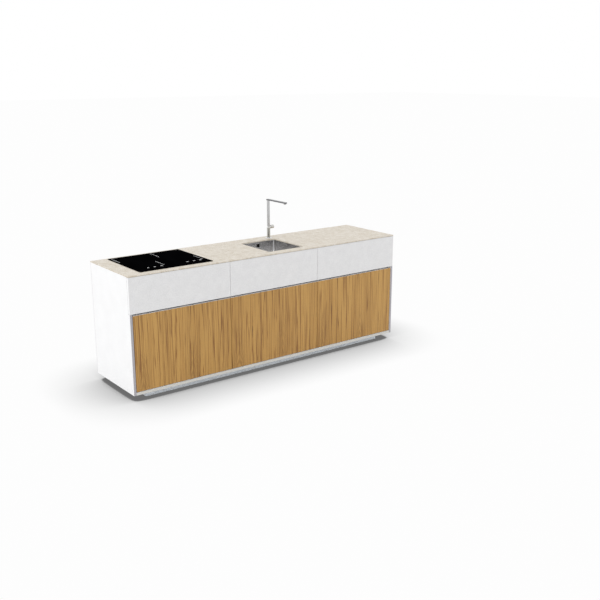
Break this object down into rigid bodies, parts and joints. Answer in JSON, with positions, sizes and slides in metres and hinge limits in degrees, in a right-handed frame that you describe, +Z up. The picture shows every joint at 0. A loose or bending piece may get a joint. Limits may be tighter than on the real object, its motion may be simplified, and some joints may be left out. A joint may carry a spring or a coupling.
{
  "type": "outdoor kitchen",
  "caption": "Free-standing outdoor kitchen run with thin worktop, glass hob, under-mounted sink, swivel tap, light upper fronts, wood-look pull-outs and recessed plinth.",
  "frame": {"origin": "on the floor, under the middle of the kitchen's footprint", "axes": "+X along the kitchen to its right as seen from the front, +Y to its back, +Z up"},
  "size_m": [2.42, 0.6, 1.22],
  "materials": {
    "worktop_laminate": "beige speckled compact laminate, matt",
    "white_board": "white compact board, matt",
    "inner_board": "light grey coated plywood",
    "back_board": "light grey compact laminate, matt",
    "channel_aluminium": "anodised extrusion",
    "plinth_board": "cool grey board, matt",
    "black_plastic": "moulded plastic",
    "hob_glass": "black glass ceramic with white printed zones",
    "zinc_steel": "zinc-plated sheet",
    "coil_copper": "copper winding",
    "circuit_board": "green circuit board",
    "sink_steel": "satin stainless steel",
    "polished_steel": "polished stainless steel",
    "white_plastic": "moulded white plastic",
    "tap_steel": "brushed stainless steel",
    "aerator_plastic": "dark plastic insert",
    "nut_brass": "plain brass",
    "tail_copper": "plain copper pipe",
    "grey_front": "light grey compact laminate with a faint mottle",
    "wood_front": "golden brown teak look with upright grain",
    "drawer_board": "dark grey coated plywood"
  },
  "bodies": {
    "cabinet": {"worktop": "worktop_laminate", "left_side_panel": "white_board", "right_side_panel": "white_board", "inner_side_boards": "inner_board", "base_board": "white_board", "left_back_panel": "back_board", "middle_back_panel": "back_board", "right_back_panel": "back_board", "top_rails": "inner_board", "grip_channels": "channel_aluminium", "front_plinth": "plinth_board", "back_plinth": "plinth_board", "end_plinths": "plinth_board", "foot_sockets": "black_plastic", "hob_glass": "hob_glass", "hob_casing": "zinc_steel", "hob_coils": "coil_copper", "hob_control_board": "circuit_board", "hob_clamps": "zinc_steel", "sink_bowl": "sink_steel", "sink_clips": "zinc_steel", "overflow_frame": "polished_steel", "overflow_pipe": "black_plastic", "waste_body": "polished_steel", "bottle_trap": "white_plastic", "tap_base_ring": "tap_steel", "tap_body": "tap_steel", "tap_shank_nut": "nut_brass", "tap_inlet_tails": "tail_copper", "sink_apron": "grey_front", "cabinet_rails": "zinc_steel", "back_screws": "zinc_steel"},
    "front_foot_1": {"front_foot_1": "black_plastic"},
    "front_foot_2": {"front_foot_2": "black_plastic"},
    "front_foot_3": {"front_foot_3": "black_plastic"},
    "front_foot_4": {"front_foot_4": "black_plastic"},
    "back_foot_1": {"back_foot_1": "black_plastic"},
    "back_foot_2": {"back_foot_2": "black_plastic"},
    "back_foot_3": {"back_foot_3": "black_plastic"},
    "back_foot_4": {"back_foot_4": "black_plastic"},
    "upper_left_drawer": {"upper_left_front": "grey_front", "upper_left_box": "drawer_board"},
    "upper_left_rails": {"upper_left_middle_rails": "zinc_steel"},
    "upper_right_drawer": {"upper_right_front": "grey_front", "upper_right_box": "drawer_board"},
    "upper_right_rails": {"upper_right_middle_rails": "zinc_steel"},
    "lower_left_drawer": {"lower_left_front": "wood_front", "lower_left_box": "drawer_board"},
    "lower_left_rails": {"lower_left_middle_rails": "zinc_steel"},
    "lower_middle_drawer": {"lower_middle_front": "wood_front", "lower_middle_box": "drawer_board"},
    "lower_middle_rails": {"lower_middle_middle_rails": "zinc_steel"},
    "lower_right_drawer": {"lower_right_front": "wood_front", "lower_right_box": "drawer_board"},
    "lower_right_rails": {"lower_right_middle_rails": "zinc_steel"},
    "tap_spout": {"tap_spout": "tap_steel", "tap_aerator": "aerator_plastic"},
    "tap_knob": {"tap_knob": "tap_steel"},
    "strainer_basket": {"strainer_basket": "polished_steel"},
    "hob_fan": {"hob_fan": "black_plastic"}
  },
  "joints": [
    {"name": "front_foot_1_screw", "type": "slide", "parent": "cabinet", "child": "front_foot_1", "axis": [0, 0, -1], "range_m": [0, 0.015]},
    {"name": "front_foot_2_screw", "type": "slide", "parent": "cabinet", "child": "front_foot_2", "axis": [0, 0, -1], "range_m": [0, 0.015]},
    {"name": "front_foot_3_screw", "type": "slide", "parent": "cabinet", "child": "front_foot_3", "axis": [0, 0, -1], "range_m": [0, 0.015]},
    {"name": "front_foot_4_screw", "type": "slide", "parent": "cabinet", "child": "front_foot_4", "axis": [0, 0, -1], "range_m": [0, 0.015]},
    {"name": "back_foot_1_screw", "type": "slide", "parent": "cabinet", "child": "back_foot_1", "axis": [0, 0, -1], "range_m": [0, 0.015]},
    {"name": "back_foot_2_screw", "type": "slide", "parent": "cabinet", "child": "back_foot_2", "axis": [0, 0, -1], "range_m": [0, 0.015]},
    {"name": "back_foot_3_screw", "type": "slide", "parent": "cabinet", "child": "back_foot_3", "axis": [0, 0, -1], "range_m": [0, 0.015]},
    {"name": "back_foot_4_screw", "type": "slide", "parent": "cabinet", "child": "back_foot_4", "axis": [0, 0, -1], "range_m": [0, 0.015]},
    {"name": "upper_left_drawer_slide", "type": "slide", "parent": "cabinet", "child": "upper_left_drawer", "axis": [0, -1, 0], "range_m": [0, 0.46]},
    {"name": "upper_left_rails_slide", "type": "slide", "parent": "cabinet", "child": "upper_left_rails", "axis": [0, -1, 0], "range_m": [0, 0.23]},
    {"name": "upper_right_drawer_slide", "type": "slide", "parent": "cabinet", "child": "upper_right_drawer", "axis": [0, -1, 0], "range_m": [0, 0.46]},
    {"name": "upper_right_rails_slide", "type": "slide", "parent": "cabinet", "child": "upper_right_rails", "axis": [0, -1, 0], "range_m": [0, 0.23]},
    {"name": "lower_left_drawer_slide", "type": "slide", "parent": "cabinet", "child": "lower_left_drawer", "axis": [0, -1, 0], "range_m": [0, 0.46]},
    {"name": "lower_left_rails_slide", "type": "slide", "parent": "cabinet", "child": "lower_left_rails", "axis": [0, -1, 0], "range_m": [0, 0.23]},
    {"name": "lower_middle_drawer_slide", "type": "slide", "parent": "cabinet", "child": "lower_middle_drawer", "axis": [0, -1, 0], "range_m": [0, 0.46]},
    {"name": "lower_middle_rails_slide", "type": "slide", "parent": "cabinet", "child": "lower_middle_rails", "axis": [0, -1, 0], "range_m": [0, 0.23]},
    {"name": "lower_right_drawer_slide", "type": "slide", "parent": "cabinet", "child": "lower_right_drawer", "axis": [0, -1, 0], "range_m": [0, 0.46]},
    {"name": "lower_right_rails_slide", "type": "slide", "parent": "cabinet", "child": "lower_right_rails", "axis": [0, -1, 0], "range_m": [0, 0.23]},
    {"name": "spout_swivel", "type": "hinge", "parent": "cabinet", "child": "tap_spout", "pos_m": [0.30633, 0.22, 1.05], "axis": [0, 0, 1], "range_deg": [-110, 110]},
    {"name": "knob_turn", "type": "hinge", "parent": "cabinet", "child": "tap_knob", "pos_m": [0.33633, 0.22, 0.9925], "axis": [1, 0, 0], "range_deg": [0, 90]},
    {"name": "basket_lift", "type": "slide", "parent": "cabinet", "child": "strainer_basket", "axis": [0, 0, 1], "range_m": [0, 0.15]},
    {"name": "fan_spin", "type": "hinge", "parent": "cabinet", "child": "hob_fan", "pos_m": [-0.799, 0.057, 0.8663], "axis": [0, 0, 1], "continuous": true}
  ],
  "couplings": [
    {"joint": "upper_left_rails_slide", "follows": "upper_left_drawer_slide", "ratio": 0.5},
    {"joint": "upper_right_rails_slide", "follows": "upper_right_drawer_slide", "ratio": 0.5},
    {"joint": "lower_left_rails_slide", "follows": "lower_left_drawer_slide", "ratio": 0.5},
    {"joint": "lower_middle_rails_slide", "follows": "lower_middle_drawer_slide", "ratio": 0.5},
    {"joint": "lower_right_rails_slide", "follows": "lower_right_drawer_slide", "ratio": 0.5}
  ]
}
